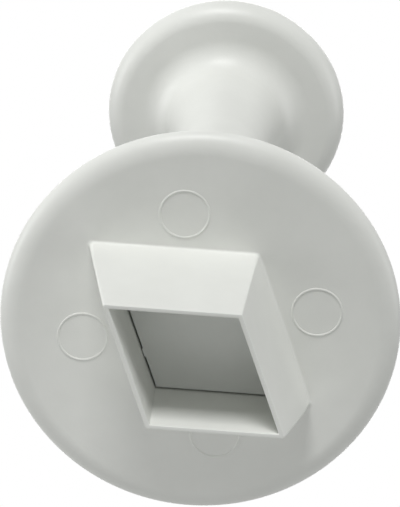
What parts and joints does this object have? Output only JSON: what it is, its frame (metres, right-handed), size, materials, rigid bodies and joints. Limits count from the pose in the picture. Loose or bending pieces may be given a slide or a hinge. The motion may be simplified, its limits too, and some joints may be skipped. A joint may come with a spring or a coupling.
{
  "type": "plunger cutter",
  "caption": "Diamond plunger cutter: a thin-walled cutter on a round disc, with a sprung ejector plate pressed by a flared knob.",
  "frame": {"origin": "centre of the cutting edge's plane, on the plunger's axis; the cutter stands on its cutting edge", "axes": "+Z along the plunger's axis from the cutting edge to the knob, +X along the diamond's long diagonal"},
  "size_m": [0.04, 0.04, 0.0768],
  "materials": {
    "white_moulding": "fine satin moulding",
    "plate_moulding": "satin moulding, slightly greyer",
    "rod_plastic": "drawn plastic rod",
    "spring_steel": "bright drawn wire"
  },
  "bodies": {
    "cutter": {"cutter_body": "white_moulding", "return_spring": "spring_steel"},
    "plunger": {"ejector_plate": "plate_moulding", "plunger_rod": "rod_plastic", "plunger_knob": "white_moulding", "knob_cap": "white_moulding"}
  },
  "joints": [
    {"name": "plunger_press", "type": "slide", "parent": "cutter", "child": "plunger", "axis": [0, 0, -1], "range_m": [0, 0.0093], "stiffness_N_per_m": 300, "springref_m": -0.0056, "deforming": ["return_spring"]}
  ]
}
